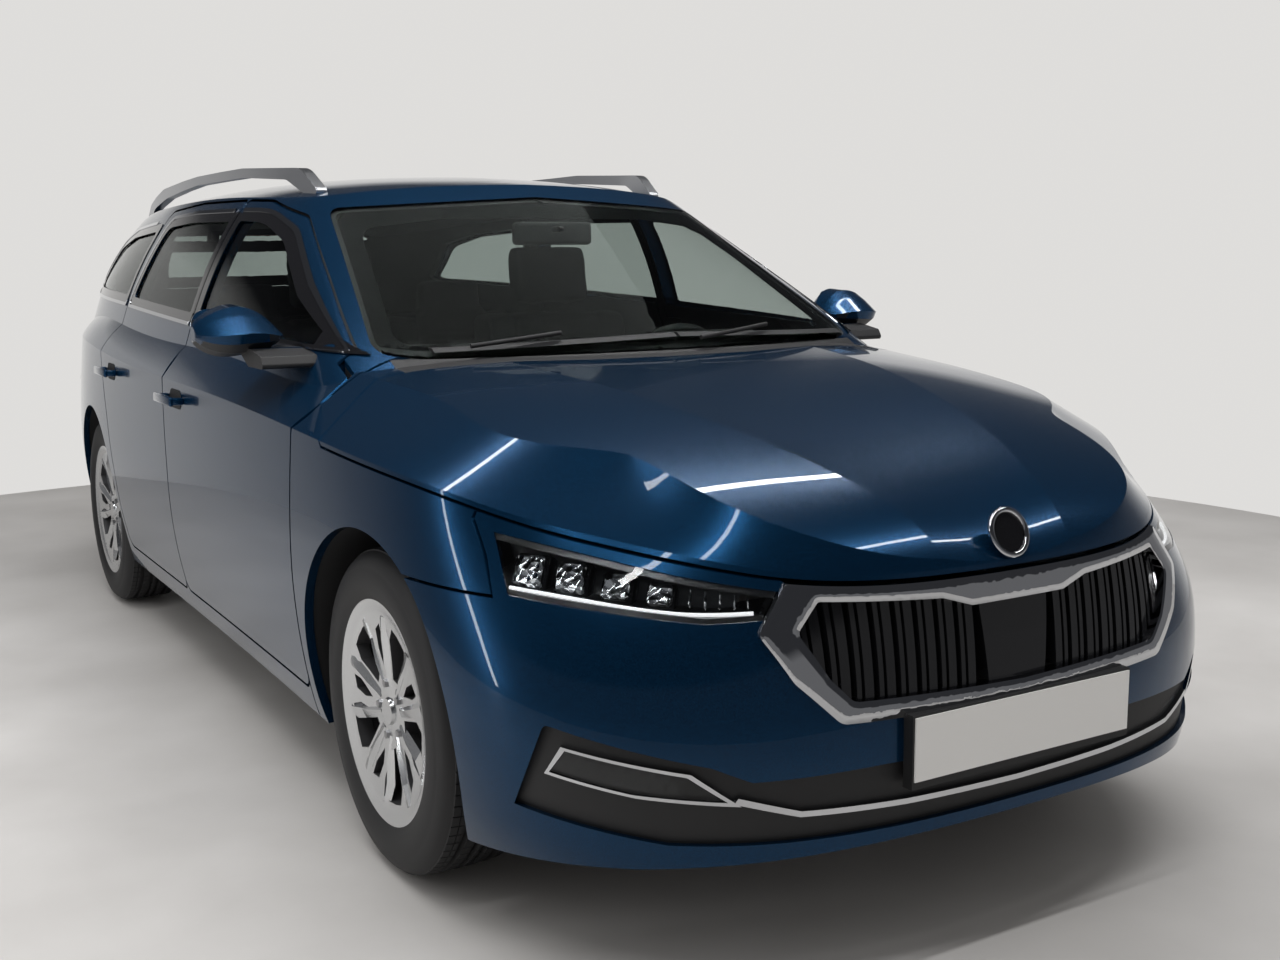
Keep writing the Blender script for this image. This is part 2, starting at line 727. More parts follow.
# %% Bands around the side windows
FRONT_WINDOW = [
    (930, 1012, 15), (632, 1138), (376, 1272, 40), (180, 1326, 90), (-24, 1332, 12), (-60, 1044, 12),
]
REAR_WINDOW = [(-122, 1048, 12), (-88, 1332, 12), (-500, 1336), (-800, 1324, 50), (-935, 1074, 25)]
QUARTER_WINDOW = [
    (-1026, 1078, 12), (-932, 1316, 30), (-1350, 1298), (-1620, 1258, 60), (-1880, 1112, 30),
    (-1800, 1094, 20),
]
DOORS = (
    ("front_door", FRONT_WINDOW, "door_front_{}", (-30, 2000)),
    ("rear_door", REAR_WINDOW, "door_rear_{}", (-2000, -120)),
    ("quarter", QUARTER_WINDOW, "body", (-2000, -1010)),
)
INWARD = (0, -1, 0)
EDGE_IN = -14
EDGE_OUT = 12
STRIP_OUT = 22


def window_band(points, inner, outer, keep):
    shape = band(points, inner, outer, side_view)
    fine(shape, 0.05)
    gone = [f for f in shape.faces if not keep(f.calc_center_median() / MM)]
    bmesh.ops.delete(shape, geom=gone, context="FACES")
    return shape


def everything(middle):
    return True


for name, points, body, (low_x, high_x) in DOORS:
    def black_edge(points=points):
        shape = window_band(points, EDGE_IN, EDGE_OUT, everything)
        return lay_on(shape, [cabin_form], INWARD, 0.0015, -0.001)

    def bright_strip(points=points, low_x=low_x, high_x=high_x):
        shape = window_band(points, EDGE_OUT, STRIP_OUT, lambda middle: low_x < middle.x < high_x)
        return lay_on(shape, [cabin_form], INWARD, 0.002, -0.0025)

    both_sides(name + "_window_edge", black_edge, body, "gloss_black", gloss_black)
    both_sides(name + "_bright_strip", bright_strip, body, "bright_trim", chrome)
print("window bands:", len(pieces))

# %% Black covers on the door pillars
PILLARS = {
    "front_pillar_cover": ([(-70, 1060), (-36, 1340), (-56, 1344), (-90, 1060)], "door_front_{}"),
    "rear_pillar_cover": ([(-98, 1062), (-64, 1344), (-78, 1344), (-112, 1062)], "door_rear_{}"),
}
for name, (points, body) in PILLARS.items():
    def cover(points=points):
        shape = plate(points, side_view)
        fine(shape, 0.05)
        return lay_on(shape, [cabin_form], INWARD, 0.0012, -0.001)
    both_sides(name, cover, body, "gloss_black", gloss_black)
print("surrounds:", len(pieces))

# %% [markdown]
# ## The nose
# Each headlamp holds four bright faceted blocks in black hoods and a row of five thin ribs, and a light
# bar runs along its lower edge. They follow the body's own form a little inside the cover, so each one
# is turned to look out of the body at its place.

# %% Points on the nose
NOSE_FROM = 1200
NOSE_OUT = Vector((1, 0.5, 0.3))
SIDE_OUT = Vector((0, 1, 0))


def skin_spot(x, y, z, lift=0.0, form_list=None):
    """The point of the body nearest to a place, lifted along the body's normal, and that normal."""
    best = None
    for form in form_list or [lower_form, shoulder_form, deck_form, deck_side_form]:
        spot, _, face, gap = form.tree.find_nearest(Vector((x, y, z)) * MM)
        if best is None or gap < best[0]:
            best = (gap, spot, form.normal_at(spot, face))
    normal = best[2]
    outward = NOSE_OUT if x > NOSE_FROM else SIDE_OUT
    if normal.dot(outward) < 0:
        normal = -normal
    return best[1] + normal * lift, normal


def frame_at(normal, rough_up=Vector((0, 0, 1))):
    """Axes on a surface: along it to the side, out of it, and up it."""
    side = normal.cross(rough_up).normalized()
    return Matrix((side, normal, side.cross(normal))).transposed()


# %% Headlamp inside
crystal = finish("clear_lamp_block", (0.88, 0.90, 0.92), roughness=0.14, metallic=1.0)
facets = texture(crystal, "ShaderNodeTexVoronoi", 55)
add_bump(crystal, facets.outputs["Distance"], 0.012, 1.0)
light_bar = finish("light_bar", (0.9, 0.92, 0.95), roughness=0.15, emission_color=(1, 1, 1, 1),
                   emission_strength=0.8)
LAMP_MODULES = [
    (1915, 772, 700, 60, 64), (1976, 718, 693, 58, 60), (2040, 664, 684, 54, 52), (2098, 612, 673, 46, 42),
]
MODULE_LIFT = -0.034
HOOD_LIFT = -0.052
RIB_LIFT = -0.030
LAMP_RIBS = [
    (2134, 574, 664, 3, 32), (2151, 554, 662, 3, 30), (2167, 535, 661, 3, 28), (2182, 516, 660, 3, 26),
    (2195, 498, 660, 3, 22),
]
BAR_LIFT = -0.009
BAR_RADIUS = 0.0034
BAR_LINE = [(1905, 796, 666), (2004, 722, 655), (2096, 650, 646), (2170, 574, 641), (2214, 500, 645)]


def in_lamp(units, lift, depth, grow, bevel, segments):
    """Blocks on the line of the lamp, each turned to face out of the body."""
    shapes = []
    for x, y, z, width, height in units:
        spot, normal = skin_spot(x, y, z, lift, [lower_form])
        unit = block((width * grow * MM, depth, height * grow * MM), (0, 0, 0), bevel, segments)
        shapes.append(set_down(unit, frame_at(normal), spot))
    return merged(shapes)


def lamp_modules():
    blocks = in_lamp(LAMP_MODULES, MODULE_LIFT, 0.03, 0.9, 0.005, 1)
    return merged([blocks, in_lamp(LAMP_RIBS, RIB_LIFT, 0.02, 1, 0.001, 1)])


def lamp_hoods():
    return in_lamp(LAMP_MODULES, HOOD_LIFT, 0.03, 1.08, 0.004, 2)


def round_bar(points, radius, roundness, steps):
    """A round bar with closed ends along a smooth line through points."""
    data = bpy.data.curves.new("bar", "CURVE")
    data.dimensions = "3D"
    data.bevel_depth = radius
    data.bevel_resolution = roundness
    data.resolution_u = steps
    data.use_fill_caps = True
    spline = data.splines.new("NURBS")
    spline.points.add(len(points) - 1)
    for point, place in zip(spline.points, points):
        point.co = (*place, 1)
    spline.order_u = 3
    spline.use_endpoint_u = True
    return opened(as_mesh(placed("bar", data)))


def lamp_bar():
    spots = [skin_spot(*place, BAR_LIFT, [lower_form])[0] for place in BAR_LINE]
    return round_bar(spots, BAR_RADIUS, 2, 6)


both_sides("headlamp_hoods", lamp_hoods, "body", "gloss_black", gloss_black)
both_sides("headlamp_blocks", lamp_modules, "body", "lamp_glass", crystal, angle=20)
both_sides("headlamp_bar", lamp_bar, "body", "lamp_glass", light_bar)
print("headlamps:", len(pieces))

# %% Fog lamp insides
FOG_SPOTS = [(2095, 742, 386), (2160, 680, 376)]


def fog_units():
    return in_lamp([(x, y, z, 48, 20) for x, y, z in FOG_SPOTS], -0.02, 0.012, 1, 0.004, 2)


both_sides("fog_lamp_blocks", fog_units, "body", "lamp_glass", crystal, angle=20)

# %% [markdown]
# ## Ring on the bonnet
# A bright ring with a black disc sits on the tip of the bonnet. The ring is a small circle spun round a
# larger one, which is how any hoop of even thickness can be made.

# %% Ring and disc above the grille
BADGE = (2280.0, 0.0, 735.0)
BADGE_RADIUS = 0.041
BADGE_THICK = 0.0055
DISC_RADIUS = 0.037
RING_LIFT = 0.004
DISC_LIFT = 0.003
badge_spot, badge_out = skin_spot(*BADGE)
badge_out.y = 0
badge_out.normalize()
badge_turn = badge_out.to_track_quat("Z", "Y").to_matrix()


upright = Matrix.Rotation(math.pi / 2, 4, "X")
ring = bmesh.new()
bmesh.ops.create_circle(ring, segments=12, radius=BADGE_THICK,
                        matrix=Matrix.Translation((BADGE_RADIUS, 0, 0)) @ upright)
bmesh.ops.spin(ring, geom=ring.edges, cent=(0, 0, 0), axis=(0, 0, 1), angle=2 * math.pi, steps=48,
               use_merge=True)
set_down(ring, badge_turn, badge_spot + badge_out * RING_LIFT)
finished("badge_ring", ring, "bonnet_lid", "bright_trim", chrome)
disc = bmesh.new()
bmesh.ops.create_circle(disc, cap_ends=True, segments=48, radius=DISC_RADIUS)
bmesh.ops.solidify(disc, geom=disc.faces, thickness=0.004)
set_down(disc, badge_turn, badge_spot + badge_out * DISC_LIFT)
finished("badge_plate", disc, "bonnet_lid", "gloss_black", gloss_black)
print("nose:", len(pieces))

# %% [markdown]
# ## Tyres and wheels
# A tyre is one cross-section spun round the axle. The ribs between its grooves are then divided into
# blocks by insetting every face of the tread a little. The alloy wheel keeps the frame's spokes: their
# faces that look outward are bright, and the walls between them are dark grey.

# %% Tyres
TYRE_PROFILE = [
    (0.218, 0.080), (0.222, 0.090), (0.232, 0.096), (0.236, 0.0965), (0.240, 0.099), (0.262, 0.1015),
    (0.284, 0.1005), (0.288, 0.0985), (0.292, 0.0985), (0.306, 0.094), (0.315, 0.087), (0.3215, 0.076),
    (0.3235, 0.060), (0.3240, 0.050), (0.3170, 0.048), (0.3170, 0.040), (0.3243, 0.038), (0.3250, 0.018),
    (0.3180, 0.016), (0.3180, 0.006), (0.3252, 0.004),
]
TYRE_RADIUS = 0.3286
TYRE_HALF_WIDTH = 0.1015
TREAD_FROM = 0.3205
BLOCK_GAP = 0.0014
BLOCK_RISE = 0.003
TYRE_STEPS = 84


def make_tyre(corner):
    low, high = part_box("tyre_" + corner)
    centre = (Vector(low) + Vector(high)) / 2
    grow = (high[2] - low[2]) / 2 / TYRE_RADIUS
    wide = (high[1] - low[1]) / 2 / TYRE_HALF_WIDTH
    shape = bmesh.new()
    points = TYRE_PROFILE + [(r, -w) for r, w in reversed(TYRE_PROFILE)]
    verts = [shape.verts.new((centre.x + r * grow, centre.y + w * wide, centre.z)) for r, w in points]
    edges = [shape.edges.new(pair) for pair in zip(verts, verts[1:])]
    bmesh.ops.spin(shape, geom=edges, cent=centre, axis=(0, 1, 0), angle=2 * math.pi, steps=TYRE_STEPS,
                   use_merge=True)
    bmesh.ops.recalc_face_normals(shape, faces=shape.faces)
    tread = []
    for face in shape.faces:
        middle = face.calc_center_median() - centre
        if math.hypot(middle.x, middle.z) > TREAD_FROM * grow:
            tread.append(face)
    bmesh.ops.inset_individual(shape, faces=tread, thickness=BLOCK_GAP, depth=BLOCK_RISE,
                               use_even_offset=True)
    piece = finished("tyre_%s_tread" % corner, shape, "wheel_" + corner, "tyre_rubber", tyre_rubber, angle=28)
    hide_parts("tyre_" + corner)
    return centre


# %% Wheels: bright outer faces, five bolts and a blank cap
spoke_wall = finish("wheel_pocket_grey", (0.10, 0.10, 0.105), metallic=0.6, roughness=0.4)
bolt_metal = finish("bolt_zinc", (0.35, 0.35, 0.36), metallic=1.0, roughness=0.3)
BOLT_CIRCLE = 0.056
BOLTS = 5
FACES_OUT = 0.35
RIM_FLANGE = 0.2
CAP_OFF_AXLE = 0.012


def outer_side(centre):
    return 1 if centre.y > 0 else -1


def boss(segments, foot, top, depth, side, place):
    """A short cone that points out of the wheel."""
    shape = bmesh.new()
    bmesh.ops.create_cone(shape, cap_ends=True, segments=segments, radius1=foot, radius2=top, depth=depth)
    return set_down(shape, Matrix.Rotation(-math.pi / 2 * side, 3, "X"), place)


def wheel_face(corner, centre):
    """A function that gives the y of the wheel's outer face at any x and z, or None in a gap."""
    mesh = pieces["rim_" + corner].data
    side = outer_side(centre)
    tree = BVHTree.FromPolygons([v.co for v in mesh.vertices], [p.vertices for p in mesh.polygons])

    def face_at(x, z):
        spot = tree.ray_cast(Vector((x, centre.y + side * 0.3, z)), Vector((0, -side, 0)))[0]
        return None if spot is None else spot.y
    return face_at


def dress_rim(corner, centre):
    mesh = copy_node("rim_" + corner, angle=24).data
    side = outer_side(centre)
    wear("rim_" + corner, alloy, spoke_wall)
    for face in mesh.polygons:
        reach = math.hypot(face.center.x - centre.x, face.center.z - centre.z)
        bright = face.normal.y * side > FACES_OUT or reach > RIM_FLANGE
        face.material_index = 0 if bright else 1
    face_at = wheel_face(corner, centre)
    cap_y = face_at(centre.x + CAP_OFF_AXLE, centre.z) + side * 0.002
    cap = boss(32, 0.029, 0.026, 0.008, side, (centre.x, cap_y, centre.z))
    bolts = []
    for k in range(BOLTS):
        angle = 2 * math.pi * (k + 0.5) / BOLTS
        x = centre.x + BOLT_CIRCLE * math.cos(angle)
        z = centre.z + BOLT_CIRCLE * math.sin(angle)
        bolts.append(boss(6, 0.0095, 0.0085, 0.014, side, (x, face_at(x, z) - side * 0.001, z)))
    finished("wheel_cap_" + corner, cap, "wheel_" + corner, "wheel_alloy", alloy)
    finished("wheel_bolts_" + corner, merged(bolts), "wheel_" + corner, "wheel_alloy", bolt_metal, angle=20)


# %% [markdown]
# ## Ridges on the spokes
# The arms of the real wheel are folded along their length, so one flank is light and the other dark. A
# low roof-shaped strip of faces on each arm gives the same two tones. Each arm widens toward the rim.

# %% Bright ridges on the spokes
SPOKE_PAIRS = 5
RIDGE_IN = 0.052
RIDGE_OUT = 0.196
RIDGE_ANGLES = ((-13, -16, 1), (19, 22, -1))
RIDGE_HALF_WIDTH = 0.010
RIDGE_WIDENS = 0.009
RIDGE_TALL = 0.009
RIDGE_END_TALL = 0.002
RIDGE_LEAN = 0.35
RIDGE_SUNK = 0.001


def spoke_ridges(corner, centre):
    side = outer_side(centre)
    low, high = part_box("rim_" + corner)
    face_y = high[1] if side > 0 else low[1]
    face_at = wheel_face(corner, centre)
    shapes = []
    for k in range(SPOKE_PAIRS):
        for start, end, lean in RIDGE_ANGLES:
            ridge = bmesh.new()
            rows = []
            for share in (0.0, 0.35, 0.7, 1.0):
                reach = RIDGE_IN + (RIDGE_OUT - RIDGE_IN) * share
                turn = math.radians(360 / SPOKE_PAIRS * k + start + (end - start) * share) * side
                half = RIDGE_HALF_WIDTH + RIDGE_WIDENS * share
                across = Vector((-math.sin(turn), 0, math.cos(turn)))
                spot = Vector((centre.x + reach * math.cos(turn), 0, centre.z + reach * math.sin(turn)))
                hit = face_at(spot.x, spot.z)
                base = (face_y - side * 0.02 if hit is None else hit) - side * RIDGE_SUNK
                tall = RIDGE_TALL if 0 < share < 1 else RIDGE_END_TALL
                row = [spot - across * half, spot + across * half * RIDGE_LEAN * lean, spot + across * half]
                for point, up in zip(row, (0, tall, 0)):
                    point.y = base + side * up
                rows.append([ridge.verts.new(point) for point in row])
            for first, second in zip(rows, rows[1:]):
                for a in (0, 1):
                    ridge.faces.new((first[a], first[a + 1], second[a + 1], second[a]))
            shapes.append(ridge)
    finished("wheel_ridges_" + corner, merged(shapes), "wheel_" + corner, "wheel_alloy", alloy, angle=12)


# %% [markdown]
# ## Brake calipers
# A caliper is a block that holds the pads against the disc. Its outline is spun a short way round the
# axle. A front one rides on the steered knuckle, behind the axle, and a rear one sits ahead of its
# axle.

# %% Brake calipers
caliper_paint = finish("caliper_grey", (0.16, 0.16, 0.165), metallic=0.4, roughness=0.45)


CALIPER_REACH = (0.100, 0.120, 0.158)
CALIPER_IN = 0.045
CALIPER_OUT = 0.002
CALIPER_ARC = 52


def make_caliper(corner, centre):
    low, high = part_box("brake_disc_" + corner)
    side = outer_side(centre)
    face_y = high[1] if side > 0 else low[1]
    behind_or_ahead = -1 if corner.startswith("front") else 1
    inner_y = face_y - side * CALIPER_IN
    outer_y = face_y + side * CALIPER_OUT
    foot, step, top = CALIPER_REACH
    outline = [(foot, inner_y), (top, inner_y), (top, outer_y), (step, outer_y)]
    shape = bmesh.new()
    shape.faces.new([shape.verts.new((centre.x + r * behind_or_ahead, y, centre.z)) for r, y in outline])
    half_back = Matrix.Rotation(math.radians(-CALIPER_ARC / 2), 3, "Y")
    bmesh.ops.rotate(shape, verts=shape.verts, cent=centre, matrix=half_back)
    bmesh.ops.spin(shape, geom=shape.faces, cent=centre, axis=(0, 1, 0), angle=math.radians(CALIPER_ARC),
                   steps=8)
    bmesh.ops.recalc_face_normals(shape, faces=shape.faces)
    body = "steering_knuckle_" + corner.split("_")[1] if corner.startswith("front") else "body"
    finished("brake_caliper_" + corner, shape, body, "brake_iron", caliper_paint, angle=30)


for corner in ("front_left", "front_right", "rear_left", "rear_right"):
    wheel_centre = make_tyre(corner)
    dress_rim(corner, wheel_centre)
    spoke_ridges(corner, wheel_centre)
    make_caliper(corner, wheel_centre)
    wear("brake_disc_" + corner, cast_iron)
print("wheels:", len(pieces))

# %% [markdown]
# ## Handles, mirrors and wipers
# Door handles are rounded bars on two feet over a shallow dish. A mirror has a painted cap, a black
# foot and a silvered glass that looks back. The wipers get arms, which are round bars along a curve.

# %% Door handles
HANDLES = {"front": (70.0, 838.0, "door_front_{}"), "rear": (-812.0, 852.0, "door_rear_{}")}
HANDLE_LENGTH = 0.19
GRIP_OFF_DOOR = 0.034
FOOT_OFFSET = HANDLE_LENGTH / 2 - 0.016
SIDE_Y = 912
DISH_REACH = 62
DISH_HALF = 26
DISH_ROUND = 24


def handle(x, z):
    spot, normal = skin_spot(x, SIDE_Y, z, 0, BODY_SIDE)
    grip = block((HANDLE_LENGTH, 0.012, 0.026), (0, GRIP_OFF_DOOR, 0), 0.0055, 3)
    feet = [block((0.026, 0.036, 0.020), (along, 0.018, 0), 0.005, 2) for along in (-FOOT_OFFSET, FOOT_OFFSET)]
    return set_down(merged([grip] + feet), frame_at(normal), spot)


def handle_dish(x, z):
    signs = ((-1, -1), (1, -1), (1, 1), (-1, 1))
    corners = [(x + a * DISH_REACH, z + b * DISH_HALF, DISH_ROUND) for a, b in signs]
    shape = plate(corners, side_view)
    fine(shape, 0.02)
    return lay_on(shape, BODY_SIDE, INWARD, 0.0006, -0.0006)


for name, (x, z, body) in HANDLES.items():
    both_sides(name + "_door_handle", lambda: handle(x, z), body, "paint", paint)
    both_sides(name + "_handle_dish", lambda: handle_dish(x, z), body, "gloss_black", under_paint)

# %% Mirror cap, foot and glass
mirror_glass = finish("mirror_glass", (0.75, 0.77, 0.78), metallic=1.0, roughness=0.02)
FOOT_HEIGHT = 0.040
FOOT_END = 0.812
PANE_X = 0.6285
PANE = [(876, 1020, 20), (992, 1030, 25), (988, 1098, 30), (876, 1106, 20)]
for side in ("left", "right"):
    piece = copy_node("mirror_" + side, angle=18)
    wear("mirror_" + side, paint, black_plastic)
    foot_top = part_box("mirror_" + side)[0][2] + FOOT_HEIGHT
    for face in piece.data.polygons:
        foot = face.center.z < foot_top or face.normal.z < -0.5 or abs(face.center.y) < FOOT_END
        looks_back = face.normal.x < -0.8
        face.material_index = 1 if foot or looks_back else 0


def mirror_pane():
    shape = plate(PANE, lambda y, z: Vector((PANE_X, y * MM, z * MM)))
    bmesh.ops.solidify(shape, geom=shape.faces, thickness=0.003)
    return shape


both_sides("mirror_pane", mirror_pane, "door_front_{}", "bright_trim", mirror_glass)

# %% Sail covers in the front corners of the front windows
SAIL = [(1000, 1000, 8), (840, 1008, 8), (830, 1052, 10), (905, 1030, 10)]


def sail():
    shape = plate(SAIL, side_view)
    fine(shape, 0.04)
    return lay_on(shape, [cabin_form, shoulder_form], INWARD, 0.003, -0.002)


both_sides("sail_cover", sail, "door_front_{}", "gloss_black", gloss_black)

# %% Wiper arms
ARM_LIFT = 0.022
ARM_RADIUS = 0.0055


def wiper_arm(start, end):
    """A thin bar that follows the windscreen, from its pivot to the middle of its blade."""
    low_y, low_z = start
    high_y, high_z = end
    points = []
    for k in range(5):
        share = k / 4
        y = low_y + (high_y - low_y) * share
        z = low_z + (high_z - low_z) * share
        mirrored = Vector((3.0, abs(y) * MM, z * MM))
        spot, normal, _, _ = cabin_form.tree.ray_cast(mirrored, -AHEAD)
        normal = normal if normal.x > 0 else -normal
        place = spot + normal * ARM_LIFT
        points.append(Vector((place.x, place.y if y > 0 else -place.y, place.z)))
    return round_bar(points, ARM_RADIUS, 4, 12)


arms = merged([wiper_arm((-480, 1000), (-250, 1022)), wiper_arm((110, 1000), (350, 1022))])
finished("wiper_arms", arms, "body", "black_plastic", black_plastic)
print("fittings:", len(pieces))

# %% [markdown]
# ## The back
# The tailgate gets a handle bar over its plate, a wiper and a high brake light. The bumper gets a black
# lower part with two reflectors. A line cast forward from behind the car finds the place of each one.

# %% Tailgate fittings
def on_tail(y, z, form_list, lift):
    return cast_on(rear_view(y, z), AHEAD, form_list, lift)


TAIL_FORMS = [lower_form, shoulder_form, cabin_form]
spot = on_tail(1, 868, TAIL_FORMS, 0.010)
bar = block((0.022, 0.62, 0.026), spot, 0.006, 3)
finished("tailgate_handle", bar, "tailgate_lid", "bright_trim", chrome)
spot = on_tail(1, 1303, TAIL_FORMS, 0.004)
high_lamp = finish("high_brake_lamp", (0.30, 0.008, 0.01), roughness=0.12, coat_weight=0.5)
bar = block((0.016, 0.30, 0.016), spot, 0.004, 2)
finished("high_brake_lamp", bar, "tailgate_lid", "red_lens", high_lamp)

# %% Rear wiper
BLADE_OFFSET = Vector((-0.006, 0, 0.01))
pivot = on_tail(1, 1062, TAIL_FORMS, 0.012)
wiper_hub = block((0.036, 0.05, 0.05), pivot, 0.012, 3)
tip = on_tail(170, 1100, TAIL_FORMS, 0.016)
blade_turn = Matrix.Rotation(math.atan2(tip.z - pivot.z, tip.y - pivot.y), 3, "X")
blade = block((0.012, 0.36, 0.014), (tip + pivot) / 2 + BLADE_OFFSET, 0.004, 2, blade_turn)
finished("rear_wiper", merged([wiper_hub, blade]), "tailgate_lid", "black_plastic", black_plastic)

# %% Reflectors and the black skirt of the bumper
REFLECTOR_TURN = Matrix.Rotation(math.radians(-24), 3, "Z")
SKIRT = [(2, 215), (560, 215, 20), (640, 290, 40), (560, 372, 30), (2, 385)]


def reflector():
    return block((0.008, 0.15, 0.022), on_tail(560, 335, [lower_form], 0.001), 0.003, 2, REFLECTOR_TURN)


def rear_skirt():
    shape = plate(SKIRT, rear_view)
    fine(shape, 0.05)
    return lay_on(shape, [lower_form], (1, 0, 0), 0.004, -0.003)


both_sides("rear_reflector", reflector, "body", "red_lens", high_lamp)
both_sides("rear_bumper_skirt", rear_skirt, "body", "black_plastic", black_plastic)
print("back:", len(pieces))

# %% [markdown]
# ## The cabin
# Seats show through the glass. A plain block would look hard, so each seat's solid is remeshed evenly,
# smoothed until its edges are round, and then its sewn channels are pressed in. The bench gets the same
# treatment.

# %% Soft seats
seat_shell = finish("seat_base_plastic", (0.02, 0.02, 0.021), roughness=0.55)
SEAT_VOXEL = 0.012
SEAM_REACH = 0.145
TOWARD_SITTER = 0.35
UPRIGHT_FACE = 0.6
CHANNEL_DEPTH = 0.010
CHANNEL_WIDTH = 0.010


def groove(distance):
    return CHANNEL_DEPTH * math.exp(-(distance / CHANNEL_WIDTH) ** 2)


def soft_seat(node, centres, rows, base_top):
    """An upholstered copy of a seat. centres are the y of each place, rows the z of its cross channels."""
    mesh = nodes[node].data.copy()
    join_triangles(mesh, 30)
    obj = placed("seat", mesh)
    even = obj.modifiers.new("even", "REMESH")
    even.mode = "VOXEL"
    even.voxel_size = SEAT_VOXEL
    soft = obj.modifiers.new("soft", "SMOOTH")
    soft.factor = 0.5
    soft.iterations = 9
    shape = opened(as_mesh(obj))
    shape.normal_update()
    for vert in shape.verts:
        if vert.co.z < base_top or max(vert.normal.x, vert.normal.z) <= TOWARD_SITTER:
            continue
        press = groove(min(abs(abs(vert.co.y - centre) - SEAM_REACH) for centre in centres))
        if vert.normal.x > UPRIGHT_FACE:
            press = max(press, max(groove(vert.co.z - row) for row in rows))
        vert.co -= vert.normal * press
    for face in shape.faces:
        face.material_index = 1 if face.calc_center_median().z < base_top else 0
    piece = finished(node + "_upholstered", shape, "body", "seat_fabric", seat_cloth, seat_shell, angle=60)
    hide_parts(node)


soft_seat("front_seats", (-0.37, 0.37), (0.66, 0.80, 0.94), 0.42)
soft_seat("rear_bench", (-0.40, 0.0, 0.40), (0.66, 0.80, 0.92), 0.36)

# %% Screen, air vents and rear-view mirror
dark_screen = finish("blank_screen", (0.004, 0.004, 0.005), roughness=0.08, coat_weight=0.8)
screen_turn = Matrix.Rotation(math.radians(-12), 3, "Y")
screen = block((0.014, 0.25, 0.145), (0.735, 0.0, 0.925), 0.006, 3, screen_turn)
finished("centre_screen", screen, "body", "gloss_black", dark_screen)
hood = block((0.07, 0.30, 0.11), (0.775, 0.37, 0.955), 0.02, 4)
finished("gauge_hood", hood, "body", "trim_plastic", soft_trim)
vents = [block((0.02, 0.13, 0.05), (0.722, y, 0.80), 0.006, 2) for y in (-0.62, -0.10, 0.10, 0.62)]
finished("air_vents", merged(vents), "body", "gloss_black", gloss_black)
STALK_Z = 1.285
spot = cabin_form.tree.ray_cast(Vector((3.0, 0.01, STALK_Z)), -AHEAD)[0]
stalk = block((0.05, 0.016, 0.016), (spot.x - 0.035, 0, STALK_Z), 0.004, 2)
back_view = block((0.03, 0.235, 0.062), (spot.x - 0.07, 0, 1.275), 0.012, 4)
finished("rear_view_mirror", merged([stalk, back_view]), "body", "trim_plastic", soft_trim)

# %% [markdown]
# ## Prints and linings
# Large panes carry a black print along their edges that hides the glue. It is a ring between two
# outlines, laid on the cabin's form inside the glass. The panels' inner faces get cloth or plastic
# instead of paint.

# %% Black printed edges of the windscreen and the rear window
SCREEN_EDGE = [
    (-588, 990), (588, 990), (672, 1004, 25), (552, 1340, 40), (300, 1368), (-300, 1368), (-552, 1340, 40),
    (-672, 1004, 25),
]
REAR_EDGE = [(-515, 1084, 40), (515, 1084, 40), (450, 1280, 40), (-450, 1280, 40)]
printed = finish("printed_black", (0.004, 0.004, 0.0045), roughness=0.6, specular_ior_level=0.03)
PRINTS = (
    ("windscreen_print", SCREEN_EDGE, front_view, -AHEAD, "body", 42, -0.0145),
    ("rear_window_print", REAR_EDGE, rear_view, AHEAD, "tailgate_lid", 46, -0.0105),
)
for name, outline, place, direction, body, width, lift in PRINTS:
    shape = band(outline, -width, 0, place)
    fine(shape, 0.05)
    lay_on(shape, [cabin_form], direction, lift, -0.0006)
    finished(name, shape, body, "gloss_black", printed, angle=60)

# %% Trim on the inner faces of doors, roof and tailgate
headliner = finish("headliner_cloth", (0.30, 0.295, 0.28), roughness=0.9)
weft = texture(headliner, "ShaderNodeTexNoise", 700, detail=2)
add_bump(headliner, weft.outputs["Fac"], 0.0003)


def line_inside(node, looks_in, lining):
    """Gives the faces of a panel that look into the cabin their lining."""
    wear(node, paint, lining)
    for face in pieces[node].data.polygons:
        if looks_in(face.normal, face.center):
            face.material_index = 1


for side, sign in (("left", 1), ("right", -1)):
    for door in ("front_door_", "rear_door_"):
        line_inside(door + side, lambda n, c: n.y * sign < -0.3, soft_trim)
line_inside("side_panels", lambda n, c: n.y * c.y < -0.0001 and abs(n.y) > 0.3, soft_trim)
line_inside("roof_panel", lambda n, c: n.z < -0.3, headliner)
line_inside("tailgate", lambda n, c: n.x > 0.3 or n.z < -0.8, soft_trim)
print("cabin:", len(pieces))

# %% [markdown]
# ## The stage
# The car stands on a round pale floor. The world is a plain room: a pale wall behind the car as the
# camera sees it, grey sides, and a dark ceiling that the gloss paint mirrors. Two long tubes above and
# one at the side draw bright lines on the paint, and a large soft lamp fills the shadows.

# %% Floor
STAGE_RADIUS = 4.0
concrete = finish("pale_concrete", (0.45, 0.44, 0.43), roughness=0.55)
clouds = texture(concrete, "ShaderNodeTexNoise", 1.3, detail=8)
vary(concrete, clouds.outputs["Fac"], "Base Color", (0.47, 0.455, 0.44), (0.60, 0.585, 0.57))
shape = bmesh.new()
bmesh.ops.create_circle(shape, cap_ends=True, segments=180, radius=STAGE_RADIUS)
bmesh.ops.translate(shape, verts=shape.verts, vec=(0, 0, -0.001))
floor_mesh = bpy.data.meshes.new("floor")
shape.to_mesh(floor_mesh)
shape.free()
floor_mesh.materials.append(concrete)
floor = placed("floor", floor_mesh)
print("floor radius:", STAGE_RADIUS)

